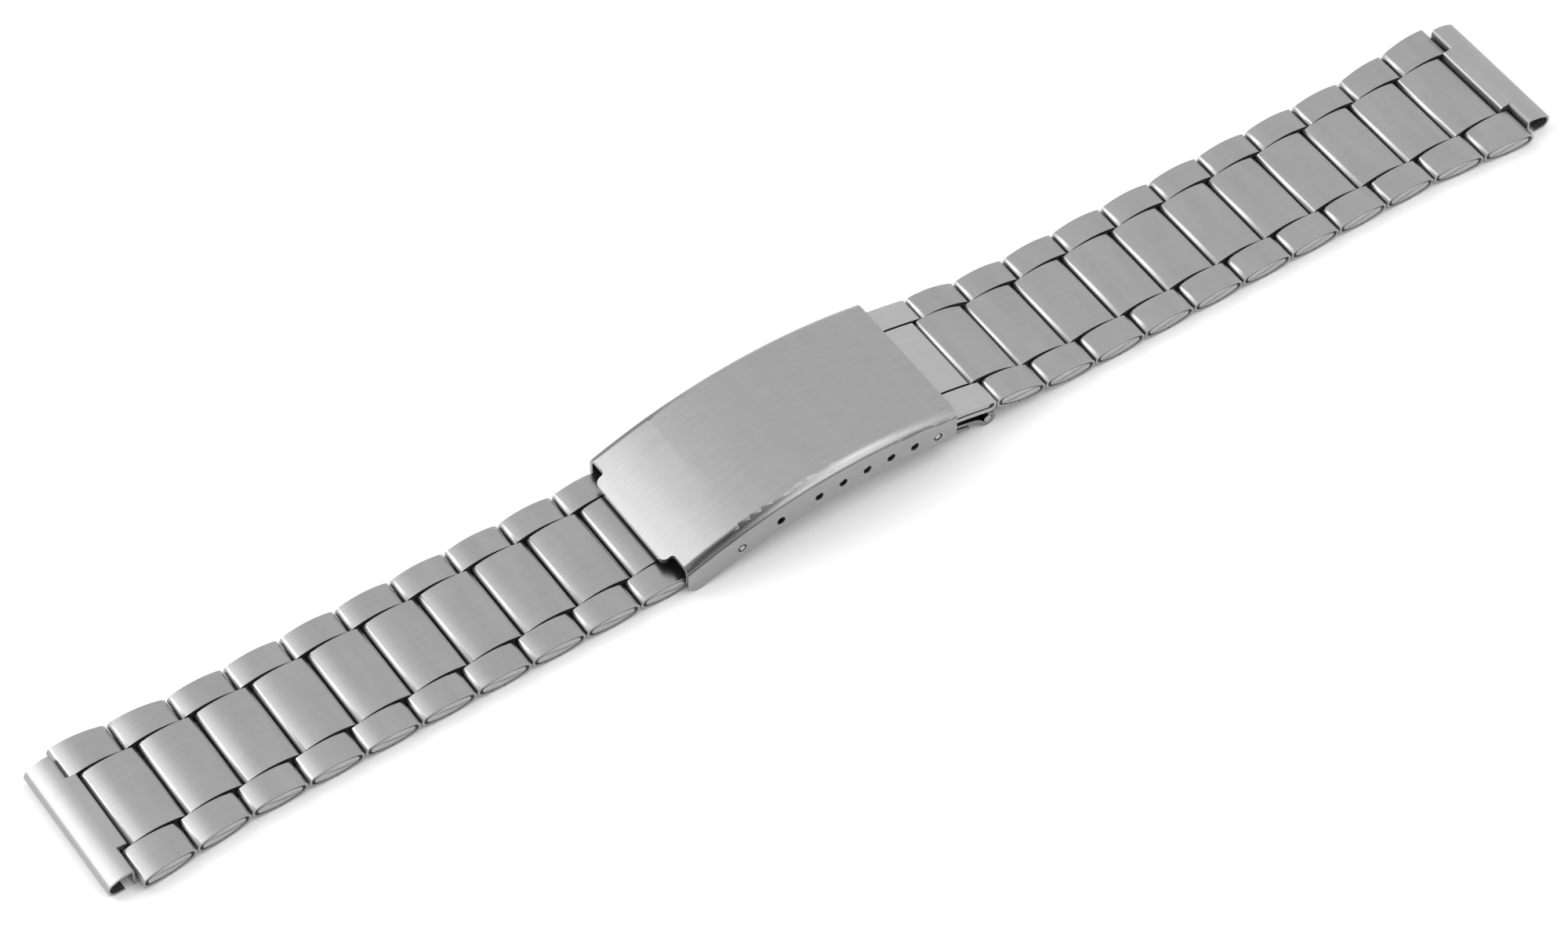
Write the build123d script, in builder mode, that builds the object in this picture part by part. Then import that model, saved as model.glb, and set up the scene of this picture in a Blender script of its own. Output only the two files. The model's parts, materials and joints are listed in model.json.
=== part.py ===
from build123d import *
import math
import os

# Band of folded links, in millimetres
link_pitch = 7.057
band_width = 18.1
centre_width = 10.9
sleeve_gap = 0.25
link_gap = 0.12
end_round = 0.8
link_crown = 1.15
sheet_wall = 0.3
seam_gap = 0.12
left_links = 10
right_links = 12
flared_links = 2
flare_rise = 1.3

# Hinge wire and core of each link
wire_radius = 0.235
wire_play = 0.045
wire_recess = 0.3
core_play = 0.03
core_recess = 0.06
core_end_gap = 0.13
neck_length = 3.0
neck_height = 0.9

# Slope of the second and third right links where they come down from the clasp, in degrees
link_falls = [13.5, 5.0]

# Cover of the clasp, an arched sheet with two flanges
cover_sheet = 0.5
cover_side_room = 0.35
cover_bend = 0.95
cover_arch = 63.8
cover_crest_from_pin = 20.76
cover_mouth_from_pin = 34.2
tongue_overhang = 3.28
tongue_clearance = 0.707
tongue_width = 13.8
tongue_corner = 0.8
shoulder_overhang = 1.95
notch_corner = 0.42
flange_depth = 4.65
flange_arch = 67.5
flange_crest_from_pin = 21.4
flange_hinge_corner = 1.4
flange_mouth_corner = 1.1

# Holes in the flanges, placed along an arch below the crest of the cover
hole_radius = 0.54
hole_depth = 3.08
rivet_from_crest = 15.73
spare_hole_from_crest = 10.41
adjust_row_from_crest = 5.27
adjust_spacing = 3.243
adjust_holes = 6

# Folding blades of the clasp
blade_sheet = 0.45
blade_side_room = 0.6
blade_pin_radius = 0.48
blade_pin_play = 0.05
blade_pin_recess = 0.05
knuckle_wall = 0.42
blade_depth = 4.35
blade_crest_from_pin = 23.06
blade_mouth_height = 0.5
blade_mouth_from_pin = 37.46
blade_stack_gap = 0.23
barrel_from_pin = 39.41
barrel_middle = 9.2
barrel_gap = 0.2
knee_gap = 0.315
leaf_end_gap = 0.42
end_ear_inset = 0.35
end_notch = 2.35
catch_width = 1.6
catch_inset = 1.8
catch_play = 0.15
catch_drop = 0.55

# Adjuster link and its spring bar
adjuster_reach = 8.12
adjuster_arch = 60.0
adjuster_thickness = 1.24
adjuster_slope = 15.5
adjuster_length = 7.0
adjuster_neck_height = 0.4
bar_tube_radius = 0.52
bar_tube_wall = 0.08
bar_tube_end_room = 1.5
bar_play = 0.03
bar_lug_wall = 0.17
tip_play = 0.02
tip_recess = 0.05
tip_length = 3.85
tip_edge = 0.06
spring_wire = 0.11
spring_play = 0.03
spring_turns = 14

# End pieces, rolled from sheet, that take the spring bar of a watch case
lug_width = 18.0
end_sheet = 0.3
end_gap = 0.1
end_bend = 0.45
plate_height = 1.45
curl_radius = 1.05
curl_reach = 3.05
curl_lip = 1.0
tab_depth = 2.4
tongue_reach = 0.48
tongue_step = 0.13
tongue_nose = 0.34

# Length by which cuts run past what they cut
overrun = 2.0

# Chain of hinge axes: distances run from the clasp end pin, heights from the middle of a flat link
wire_bore = wire_radius + wire_play
end_reach = wire_bore + sheet_wall
link_span = link_pitch - 2 * end_round - link_gap
lens_start = end_round - end_reach
centre_shift = 2 * end_reach + link_gap
side_start = centre_width / 2 + sleeve_gap
cover_width = band_width + 2 * (cover_side_room + cover_sheet)
blade_width = cover_width - 2 * (cover_sheet + blade_side_room)
bar_tube_length = cover_width - 2 * (cover_sheet + bar_tube_end_room)
blade_bore = blade_pin_radius + blade_pin_play
barrel_radius = blade_bore + blade_sheet
barrel = (barrel_from_pin, barrel_radius - link_crown)
tip_reach = cover_crest_from_pin + tongue_overhang
tip_rise = math.sqrt((cover_arch - cover_sheet) ** 2 - tip_reach**2)
arch_centre = (cover_crest_from_pin, link_crown + tongue_clearance - tip_rise)
cover_crest = arch_centre[1] + cover_arch
blade_crest = cover_crest - blade_depth


def flange_hole(from_crest):
    # A place on the flange, at a distance along the row of holes from the crest
    row = cover_arch - hole_depth
    turn = from_crest / row
    return (arch_centre[0] + row * math.sin(turn), arch_centre[1] + row * math.cos(turn))


adjust_row = [flange_hole(number * adjust_spacing - adjust_row_from_crest) for number in range(adjust_holes)]
rivet = flange_hole(-rivet_from_crest)
bar = adjust_row[-1]


def right_hinges():
    # Hinge axes of the right band, from the adjuster link outwards, with the slope of each link
    height = link_pitch * sum(math.sin(math.radians(fall)) for fall in link_falls)
    hinges = [(bar[0] + adjuster_reach, height, link_falls[0])]
    for number in range(1, right_links):
        x, z, fall = hinges[-1]
        lean = math.radians(fall)
        following = link_falls[number] if number < len(link_falls) else 0
        hinges.append((x + link_pitch * math.cos(lean), z - link_pitch * math.sin(lean), following))
    return hinges


hinges = right_hinges()
pin_x = (left_links * link_pitch - hinges[-1][0]) / 2
side = Plane(origin=(pin_x, 0, link_crown), x_dir=(1, 0, 0), z_dir=(0, -1, 0))


def unit_plane(x, z, towards, fall=0):
    # Side plane of a link or end piece: origin on its inner hinge axis, first direction outwards
    lean = math.radians(fall)
    return Plane(
        origin=(pin_x + x, 0, link_crown + z),
        x_dir=(towards * math.cos(lean), 0, -math.sin(lean)),
        z_dir=(0, -towards, 0),
    )


def plan_of(plane):
    return Plane(origin=plane.origin, x_dir=plane.x_dir, z_dir=plane.y_dir)


def lens(start, inset):
    # Cross-section of a link: two shallow arches that run smoothly into round ends
    half = link_span / 2
    nose = end_round - inset
    crown = link_crown - inset
    arch = (half**2 + crown**2 - nose**2) / (2 * (crown - nose))
    lean = math.atan2(arch - crown, half)
    middle = start + half
    x = half + nose * math.cos(lean)
    z = nose * math.sin(lean)
    with BuildSketch() as section:
        with BuildLine():
            ThreePointArc((middle - x, z), (middle, crown), (middle + x, z))
            ThreePointArc((middle + x, z), (middle + half + nose, 0), (middle + x, -z))
            ThreePointArc((middle + x, -z), (middle, -crown), (middle - x, -z))
            ThreePointArc((middle - x, -z), (middle - half - nose, 0), (middle - x, z))
        make_face()
    return section.sketch


def sleeve_section(start):
    # Folded sheet, with its seam under the middle of the link
    with BuildSketch() as section:
        add(lens(start, 0))
        add(lens(start, sheet_wall), mode=Mode.SUBTRACT)
        with Locations((start + link_span / 2, -link_crown)):
            Rectangle(seam_gap, 2 * sheet_wall + link_gap, mode=Mode.SUBTRACT)
    return section.sketch


def core_section(start, wire, outwards):
    # Core bar, which ends in a hollow round the hinge wire
    with BuildSketch() as section:
        add(lens(start, sheet_wall + core_play))
        with Locations((wire, 0)):
            Circle(wire_radius + core_end_gap, mode=Mode.SUBTRACT)
        with Locations((wire + outwards * end_round, 0)):
            Rectangle(2 * end_round, 2 * link_crown, mode=Mode.SUBTRACT)
    return section.sketch


def side_plan(plane, near_half, far_half):
    # Plan of the outer part of a link, wider towards the watch case on the flared links
    near = centre_shift / 2 - link_gap / 2
    far = near + link_pitch
    with BuildSketch(plan_of(plane)) as plan:
        with BuildLine():
            Polyline((near, 0), (far, 0), (far, -far_half), (near, -near_half), close=True)
        make_face()
    return plan.sketch


def build_sleeves(plane, near_half, far_half):
    with BuildPart() as sleeves:
        with BuildSketch(plane.offset(side_start)):
            add(sleeve_section(lens_start + centre_shift))
        extrude(amount=far_half - side_start)
        extrude(side_plan(plane, near_half, far_half), amount=link_crown, both=True, mode=Mode.INTERSECT)
        mirror(about=Plane.XZ)
        with BuildSketch(plane):
            add(sleeve_section(lens_start))
        extrude(amount=centre_width / 2, both=True)
    return sleeves.part


def build_core(plane, near_half, far_half):
    near_core = near_half - core_recess
    far_core = far_half - core_recess
    with BuildPart() as core:
        with BuildSketch(plane.offset(side_start)):
            add(core_section(lens_start + centre_shift, link_pitch, 1))
        extrude(amount=far_core - side_start)
        extrude(side_plan(plane, near_core, far_core), amount=link_crown, both=True, mode=Mode.INTERSECT)
        mirror(about=Plane.XZ)
        with BuildSketch(plane):
            add(core_section(lens_start, 0, -1))
        extrude(amount=centre_width / 2, both=True)
        with BuildSketch(plane):
            with Locations((link_pitch / 2, 0)):
                Rectangle(neck_length, neck_height)
        extrude(amount=side_start + sleeve_gap, both=True)
        with BuildSketch(plane):
            with Locations((link_pitch, 0)):
                Circle(wire_radius)
        extrude(amount=far_half - wire_recess, both=True)
    return core.part


def adjuster_slot(near, far, height):
    # Curved slot along the middle of the adjuster link, between distances from its outer hinge
    turn = math.degrees(1 / adjuster_arch)
    lean = math.radians(adjuster_slope)
    centre = (
        hinges[0][0] - adjuster_arch * math.sin(lean),
        hinges[0][1] - adjuster_arch * math.cos(lean),
    )
    first = 90 - adjuster_slope + near * turn
    with BuildSketch() as slot:
        middle = CenterArc(centre, adjuster_arch, first, (far - near) * turn, mode=Mode.PRIVATE)
        SlotArc(middle, height)
    return slot.sketch


def adjuster_far_end():
    turn = adjuster_length / adjuster_arch
    lean = math.radians(adjuster_slope)
    return (
        hinges[0][0] - adjuster_arch * (math.sin(lean) - math.sin(lean - turn)),
        hinges[0][1] - adjuster_arch * (math.cos(lean) - math.cos(lean - turn)),
    )


def build_adjuster_sleeves():
    with BuildPart() as sleeves:
        with BuildSketch(side.offset(side_start)):
            add(adjuster_slot(0, adjuster_length, adjuster_thickness))
            add(adjuster_slot(0, adjuster_length, 2 * wire_bore), mode=Mode.SUBTRACT)
        extrude(amount=band_width / 2 - side_start)
        mirror(about=Plane.XZ)
        with BuildSketch(side):
            with Locations(bar):
                Circle(bar_tube_radius + bar_play + bar_lug_wall)
            with Locations(adjuster_far_end()):
                Circle(adjuster_thickness / 2)
            make_hull()
            add(adjuster_slot(centre_shift, adjuster_length, adjuster_thickness))
            add(adjuster_slot(centre_shift, adjuster_length, 2 * wire_bore), mode=Mode.SUBTRACT)
            with Locations(bar):
                Circle(bar_tube_radius + bar_play, mode=Mode.SUBTRACT)
        extrude(amount=centre_width / 2, both=True)
    return sleeves.part


def build_adjuster_core():
    height = 2 * (wire_bore - core_play)
    near = wire_radius + core_end_gap + height / 2
    middle = adjuster_length / 2
    with BuildPart() as core:
        with BuildSketch(side.offset(side_start)):
            add(adjuster_slot(near, adjuster_length, height))
        extrude(amount=band_width / 2 - core_recess - side_start)
        mirror(about=Plane.XZ)
        with BuildSketch(side):
            add(adjuster_slot(centre_shift, adjuster_length, height))
        extrude(amount=centre_width / 2, both=True)
        with BuildSketch(side):
            add(adjuster_slot(middle - neck_length / 2, middle + neck_length / 2, adjuster_neck_height))
        extrude(amount=side_start + sleeve_gap, both=True)
        with BuildSketch(side):
            with Locations(hinges[0][:2]):
                Circle(wire_radius)
        extrude(amount=band_width / 2 - wire_recess, both=True)
    return core.part


def build_bar_tube():
    with BuildPart() as tube:
        with BuildSketch(side):
            with Locations(bar):
                Circle(bar_tube_radius)
                Circle(bar_tube_radius - bar_tube_wall, mode=Mode.SUBTRACT)
        extrude(amount=bar_tube_length / 2, both=True)
    return tube.part


def build_bar_tip():
    # Front tip, which stands in the last adjusting hole
    outer = cover_width / 2 - tip_recess
    with BuildPart() as tip:
        with BuildSketch(side.offset(outer - tip_length)):
            with Locations(bar):
                Circle(bar_tube_radius - bar_tube_wall - tip_play)
        extrude(amount=tip_length)
        chamfer(tip.edges().sort_by(Axis.Y)[0], tip_edge)
    return tip.part


def build_bar_spring():
    length = cover_width - 2 * (tip_recess + tip_length + spring_play) - spring_wire
    radius = bar_tube_radius - bar_tube_wall - spring_play - spring_wire / 2
    foot = side.from_local_coords((bar[0], bar[1], -length / 2))
    with BuildPart() as spring:
        with BuildLine():
            coil = Helix(length / spring_turns, length, radius, center=foot, direction=(0, -1, 0))
        with BuildSketch(Plane(origin=coil @ 0, z_dir=coil % 0)):
            Circle(spring_wire / 2)
        sweep(path=coil, is_frenet=True)
    return spring.part


def arch_section(half_width, crest, corner):
    # Section of the cover across the band, with rounded upper corners
    foot = cover_arch - 2 * flange_depth
    with BuildSketch() as section:
        with Locations((0, (crest + foot) / 2)):
            Rectangle(2 * half_width, crest - foot)
        fillet(section.vertices().group_by(Axis.Y)[-1], corner)
    return section.sketch


def cover_side():
    # Side outline of the cover: flange below, and room for the tongue above its hinge end
    tongue_foot = link_crown + tongue_clearance - cover_sheet
    flange_crest = cover_crest - flange_depth
    centre = (flange_crest_from_pin, flange_crest - flange_arch)

    def lower_edge(x):
        return centre[1] + math.sqrt(flange_arch**2 - (x - centre[0]) ** 2)

    hinge_corner = (-shoulder_overhang, lower_edge(-shoulder_overhang))
    mouth_corner = (cover_mouth_from_pin, lower_edge(cover_mouth_from_pin))
    top = cover_crest + overrun
    with BuildSketch() as outline:
        with BuildLine():
            ThreePointArc(hinge_corner, (centre[0], flange_crest), mouth_corner)
            Polyline(
                mouth_corner,
                (cover_mouth_from_pin, top),
                (-tongue_overhang, top),
                (-tongue_overhang, tongue_foot),
                (-shoulder_overhang, tongue_foot),
                hinge_corner,
            )
        make_face()
        fillet(outline.vertices().sort_by_distance(hinge_corner)[0], flange_hinge_corner)
        fillet(outline.vertices().sort_by_distance(mouth_corner)[0], flange_mouth_corner)
    return outline.sketch


def cover_plan():
    # Plan of the cover: square at the mouth, with a tongue between two shoulders at the hinge end
    half = cover_width / 2
    tongue = tongue_width / 2
    with BuildSketch() as plan:
        with BuildLine():
            Polyline(
                (cover_mouth_from_pin, -half),
                (cover_mouth_from_pin, half),
                (-shoulder_overhang, half),
                (-shoulder_overhang, tongue),
                (-tongue_overhang, tongue),
                (-tongue_overhang, -tongue),
                (-shoulder_overhang, -tongue),
                (-shoulder_overhang, -half),
                close=True,
            )
        make_face()
        columns = plan.vertices().group_by(Axis.X)
        fillet(columns[1].sort_by(Axis.Y)[1:3], notch_corner)
        fillet(plan.vertices().group_by(Axis.X)[0], tongue_corner)
    return plan.sketch


def build_cover():
    hinge_turn = math.asin((cover_crest_from_pin + tongue_overhang + overrun) / cover_arch)
    mouth_turn = math.asin((cover_mouth_from_pin - cover_crest_from_pin + overrun) / cover_arch)
    centre = side.from_local_coords(arch_centre)
    start = Plane(
        origin=centre,
        x_dir=(0, 1, 0),
        z_dir=(math.cos(hinge_turn), 0, math.sin(hinge_turn)),
    )
    inner_half = cover_width / 2 - cover_sheet
    with BuildPart() as cover:
        with BuildSketch(start):
            add(arch_section(cover_width / 2, cover_arch, cover_bend))
            add(
                arch_section(inner_half, cover_arch - cover_sheet, cover_bend - cover_sheet),
                mode=Mode.SUBTRACT,
            )
        revolve(axis=Axis(centre, (0, 1, 0)), revolution_arc=math.degrees(hinge_turn + mouth_turn))
        with BuildSketch(side):
            add(cover_side())
        extrude(amount=cover_width / 2, both=True, mode=Mode.INTERSECT)
        with BuildSketch(Plane(origin=side.origin, x_dir=side.x_dir, z_dir=(0, 0, 1))):
            add(cover_plan())
        extrude(amount=cover_crest + overrun, both=True, mode=Mode.INTERSECT)
        with BuildSketch(side):
            with Locations(rivet, flange_hole(-spare_hole_from_crest), *adjust_row):
                Circle(hole_radius)
        extrude(amount=cover_width / 2 + overrun, both=True, mode=Mode.SUBTRACT)
    return cover.part


def build_clasp_hinge_pin():
    with BuildPart() as pin:
        with BuildSketch(side):
            with Locations(rivet):
                Circle(blade_pin_radius)
        extrude(amount=cover_width / 2, both=True)
    return pin.part


def build_middle_blade():
    # Leaf under the cover, with a knuckle on the clasp hinge pin and two rolled ends on the blade pin
    crest = (blade_crest_from_pin, blade_crest)
    mouth = (blade_mouth_from_pin, blade_mouth_height)
    roll = barrel_radius - blade_sheet / 2
    slope = -2 * math.atan2(crest[1] - mouth[1], mouth[0] - crest[0])
    under = (math.sin(slope), -math.cos(slope))
    gap = (mouth[0] - barrel[0], mouth[1] - barrel[1])
    reach = gap[0] ** 2 + gap[1] ** 2 - roll**2
    bend = reach / (2 * (roll - gap[0] * under[0] - gap[1] * under[1]))
    bend_centre = (mouth[0] + bend * under[0], mouth[1] + bend * under[1])
    meeting = math.atan2(barrel[1] - bend_centre[1], barrel[0] - bend_centre[0])
    turn = math.degrees(meeting - slope) - 90
    with BuildPart() as blade:
        with BuildSketch(side):
            with BuildLine():
                TangentArc(crest, rivet, tangent=(-1, 0))
                TangentArc(crest, mouth, tangent=(1, 0))
                JernArc(mouth, (math.cos(slope), math.sin(slope)), bend, turn)
                CenterArc(barrel, roll, math.degrees(meeting) + 180, 270 - math.degrees(meeting))
            trace(line_width=blade_sheet)
        extrude(amount=blade_width / 2, both=True)
        with BuildSketch(side):
            with Locations((mouth[0] + blade_sheet, barrel[1])):
                Rectangle(2 * barrel_from_pin, cover_crest, align=(Align.MIN, Align.CENTER))
        extrude(amount=barrel_middle / 2 + barrel_gap, both=True, mode=Mode.SUBTRACT)
        with BuildSketch(side):
            with Locations(rivet):
                Circle(blade_bore + knuckle_wall)
        extrude(amount=blade_width / 2, both=True)
        with BuildSketch(side):
            with Locations(rivet, barrel):
                Circle(blade_bore)
        extrude(amount=blade_width / 2, both=True, mode=Mode.SUBTRACT)
    return blade.part


def build_blade_hinge_pin():
    with BuildPart() as pin:
        with BuildSketch(side):
            with Locations(barrel):
                Circle(blade_pin_radius)
        extrude(amount=blade_width / 2 - blade_pin_recess, both=True)
    return pin.part


def build_inner_blade():
    # Lower leaf: middle knuckle on the blade pin, two ears on the clasp end pin, two catch prongs
    stack = blade_sheet + blade_stack_gap
    crest = (blade_crest_from_pin, blade_crest - stack)
    slope = -2 * math.atan2(blade_crest - blade_mouth_height, blade_mouth_from_pin - blade_crest_from_pin)
    mouth = (
        blade_mouth_from_pin + stack * math.sin(slope),
        blade_mouth_height - stack * math.cos(slope),
    )
    knuckle = blade_bore + knuckle_wall
    knee = (rivet[0], rivet[1] - knuckle - knee_gap - blade_sheet / 2)
    knee_slope = 2 * math.atan2(crest[1] - knee[1], crest[0] - knee[0])
    leaf_end = mouth[0] - leaf_end_gap
    ear_start = side_start + end_ear_inset
    prong = knuckle + catch_play
    catch_middle = blade_width / 2 - catch_inset
    with BuildPart() as blade:
        with BuildSketch(side):
            with BuildLine():
                TangentArc(crest, knee, tangent=(-1, 0))
                TangentArc(knee, (0, 0), tangent=(-math.cos(knee_slope), -math.sin(knee_slope)))
                TangentArc(crest, mouth, tangent=(1, 0))
                TangentArc(mouth, barrel, tangent=(math.cos(slope), math.sin(slope)))
            trace(line_width=blade_sheet)
        extrude(amount=blade_width / 2, both=True)
        with BuildSketch(side.offset(barrel_middle / 2)):
            with Locations((leaf_end, barrel[1])):
                Rectangle(barrel_from_pin, cover_crest, align=(Align.MIN, Align.CENTER))
        extrude(amount=blade_width, mode=Mode.SUBTRACT)
        with BuildSketch(side.offset(-barrel_middle / 2)):
            with Locations((leaf_end, barrel[1])):
                Rectangle(barrel_from_pin, cover_crest, align=(Align.MIN, Align.CENTER))
        extrude(amount=-blade_width, mode=Mode.SUBTRACT)
        with BuildSketch(side):
            with Locations((end_notch, 0)):
                Rectangle(2 * end_notch, cover_crest, align=(Align.MAX, Align.CENTER))
        extrude(amount=ear_start, both=True, mode=Mode.SUBTRACT)
        with BuildSketch(side):
            with Locations(barrel):
                Circle(barrel_radius)
        extrude(amount=barrel_middle / 2, both=True)
        for edge in (ear_start, -blade_width / 2):
            with BuildSketch(side.offset(edge)):
                Circle(end_reach)
            extrude(amount=blade_width / 2 - ear_start)
        for middle in (catch_middle, -catch_middle):
            with BuildSketch(side.offset(middle)):
                with Locations(rivet):
                    Circle(prong + blade_sheet)
                    Circle(prong, mode=Mode.SUBTRACT)
                    with Locations((0, -catch_drop)):
                        Rectangle(4 * prong, 4 * prong, align=(Align.CENTER, Align.MIN), mode=Mode.SUBTRACT)
            extrude(amount=catch_width / 2, both=True)
        with BuildSketch(side):
            with Locations(barrel):
                Circle(blade_bore)
            Circle(wire_bore)
        extrude(amount=blade_width / 2, both=True, mode=Mode.SUBTRACT)
    return blade.part


def build_clasp_end_bar():
    with BuildPart() as pin:
        with BuildSketch(side):
            Circle(wire_radius)
        extrude(amount=blade_width / 2 - wire_recess, both=True)
    return pin.part


def build_end_piece(plane):
    # Rolled sheet: curl outside, arched plate above, tab bent down inside, tongue folded round the last wire
    curl_height = curl_radius - link_crown
    roll = curl_radius - end_sheet / 2
    plate = plate_height - end_sheet / 2
    tab = end_reach + end_gap + end_sheet / 2
    bend = end_bend - end_sheet / 2
    crest = tab + bend
    across = curl_reach - crest
    down = plate - curl_height
    arch = (across**2 + down**2 - roll**2) / (2 * (down - roll))
    fall = math.degrees(math.asin(across / (arch - roll)))
    with BuildPart() as piece:
        with BuildSketch(plane):
            with BuildLine():
                Line((tab, plate_height - tab_depth), (tab, plate - bend))
                CenterArc((crest, plate - bend), bend, 180, -90)
                CenterArc((crest, plate - arch), arch, 90, -fall)
                CenterArc((curl_reach, curl_height), roll, 90 - fall, fall - 180)
                Line((curl_reach, curl_height - roll), (curl_reach - curl_lip, curl_height - roll))
            trace(line_width=end_sheet)
        extrude(amount=lug_width / 2, both=True)
        with BuildSketch(plane):
            Circle(end_reach)
            with Locations((tongue_nose - tongue_reach, plate_height - tongue_step - tongue_nose)):
                Circle(tongue_nose)
            with Locations((crest, plate)):
                Circle(end_sheet / 2)
            make_hull()
        extrude(amount=centre_width / 2, both=True)
        with BuildSketch(plane):
            Circle(wire_bore)
        extrude(amount=centre_width / 2, both=True, mode=Mode.SUBTRACT)
    return piece.part


def half_width(links_to_end):
    # Half the width of the band at the boundary that has so many links outside it
    flare = max(0, flared_links - links_to_end) / flared_links
    return band_width / 2 + flare * flare_rise


def save(shape, name):
    shape.label = name
    export_step(shape, "parts/" + name + ".step")


def save_link(name, plane, links_to_end):
    near_half = half_width(links_to_end + 1)
    far_half = half_width(links_to_end)
    save(build_sleeves(plane, near_half, far_half), name + "_sleeves")
    save(build_core(plane, near_half, far_half), name + "_core")


os.makedirs("parts", exist_ok=True)

for number in range(left_links):
    place = unit_plane(-number * link_pitch, 0, -1)
    save_link("link_L%02d" % (left_links - number), place, left_links - number - 1)

save(build_adjuster_sleeves(), "link_R01_sleeves")
save(build_adjuster_core(), "link_R01_core")
for number in range(1, right_links):
    x, z, fall = hinges[number - 1]
    save_link("link_R%02d" % (number + 1), unit_plane(x, z, 1, fall), right_links - number - 1)

save(build_bar_tube(), "adjuster_bar_tube")
front_tip = build_bar_tip()
save(front_tip, "adjuster_tip_front")
save(mirror(front_tip, about=Plane.XZ), "adjuster_tip_back")
save(build_bar_spring(), "adjuster_bar_spring")

save(build_cover(), "clasp_cover")
save(build_clasp_hinge_pin(), "clasp_hinge_pin")
save(build_middle_blade(), "middle_blade")
save(build_blade_hinge_pin(), "blade_hinge_pin")
save(build_inner_blade(), "inner_blade")
save(build_clasp_end_bar(), "clasp_end_bar")

save(build_end_piece(unit_plane(-left_links * link_pitch, 0, -1)), "end_piece_left")
save(build_end_piece(unit_plane(hinges[-1][0], hinges[-1][1], 1)), "end_piece_right")
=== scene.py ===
import json
import math

import bmesh
import bpy
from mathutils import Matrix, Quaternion, Vector

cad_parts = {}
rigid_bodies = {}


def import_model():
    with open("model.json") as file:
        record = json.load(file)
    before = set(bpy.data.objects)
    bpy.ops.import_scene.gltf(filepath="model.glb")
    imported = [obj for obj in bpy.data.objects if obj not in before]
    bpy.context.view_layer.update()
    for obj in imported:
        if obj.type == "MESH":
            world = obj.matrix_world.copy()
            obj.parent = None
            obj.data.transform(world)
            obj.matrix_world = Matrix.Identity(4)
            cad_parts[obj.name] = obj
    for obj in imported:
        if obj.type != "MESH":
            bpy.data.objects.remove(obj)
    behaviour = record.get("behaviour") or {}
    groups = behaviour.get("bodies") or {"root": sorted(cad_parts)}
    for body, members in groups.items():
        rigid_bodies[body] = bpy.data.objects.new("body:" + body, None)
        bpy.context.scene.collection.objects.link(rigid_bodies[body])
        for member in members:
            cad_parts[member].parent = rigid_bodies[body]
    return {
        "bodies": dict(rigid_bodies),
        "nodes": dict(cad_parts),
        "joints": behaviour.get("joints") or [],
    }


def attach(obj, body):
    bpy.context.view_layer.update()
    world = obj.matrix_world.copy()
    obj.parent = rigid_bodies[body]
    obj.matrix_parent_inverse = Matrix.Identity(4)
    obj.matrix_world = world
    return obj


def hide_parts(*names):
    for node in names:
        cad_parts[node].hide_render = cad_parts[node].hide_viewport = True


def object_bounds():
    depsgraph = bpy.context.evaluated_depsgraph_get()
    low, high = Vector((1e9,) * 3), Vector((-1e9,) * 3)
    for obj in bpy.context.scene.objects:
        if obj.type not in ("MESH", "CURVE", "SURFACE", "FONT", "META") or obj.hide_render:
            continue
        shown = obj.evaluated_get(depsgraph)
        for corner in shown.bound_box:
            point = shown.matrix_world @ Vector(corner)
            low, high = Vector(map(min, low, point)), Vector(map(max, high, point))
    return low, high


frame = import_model()
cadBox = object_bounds()
nodes = frame["nodes"]
millimetre = 0.001
print("frame loaded:", len(nodes), "nodes")


# Small helpers

def linearColour(code):
    channels = [int(code[i:i + 2], 16) / 255 for i in (1, 3, 5)]
    linear = [c / 12.92 if c <= 0.04045 else ((c + 0.055) / 1.055) ** 2.4 for c in channels]
    return (*linear, 1.0)


def addNode(tree, kind, links=None, **settings):
    # links: name or number of an input -> value, output, node for its first output, or list of these to join
    node = tree.nodes.new(kind)
    for name, value in settings.items():
        setattr(node, name, value)
    for socket, sources in (links or {}).items():
        for source in sources if isinstance(sources, list) else [sources]:
            if isinstance(source, bpy.types.Node):
                source = source.outputs[0]
            if isinstance(source, bpy.types.NodeSocket):
                tree.links.new(source, node.inputs[socket])
            else:
                node.inputs[socket].default_value = source
    return node


def applyModifiers(obj):
    # The object's modifiers become part of its plain mesh
    graph = bpy.context.evaluated_depsgraph_get()
    mesh = bpy.data.meshes.new_from_object(obj.evaluated_get(graph), depsgraph=graph)
    obj.modifiers.clear()
    old = obj.data
    obj.data = mesh
    bpy.data.meshes.remove(old)


def newObject(name, mesh):
    obj = bpy.data.objects.new(name, mesh)
    bpy.context.scene.collection.objects.link(obj)
    return obj


edge = {
    "segments": 2,
    "sharp": 50,                         # degrees between faces, above which an edge keeps its crease
    "largeFaces": 100,                   # how strongly large faces pull the normals, 100 at most
}


def easeEdges(obj, width, angle):
    # Deburred edges: a narrow bevel, smooth shading, and normals that follow the large faces
    bevel = obj.modifiers.new("easedEdges", "BEVEL")
    bevel.width = width
    bevel.segments = edge["segments"]
    bevel.limit_method = "ANGLE"
    bevel.angle_limit = math.radians(angle)
    applyModifiers(obj)
    for face in obj.data.polygons:
        face.use_smooth = True
    obj.data.set_sharp_from_angle(angle=math.radians(edge["sharp"]))
    normals = obj.modifiers.new("faceNormals", "WEIGHTED_NORMAL")
    normals.weight = edge["largeFaces"]
    normals.keep_sharp = True
    applyModifiers(obj)


# Materials

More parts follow.
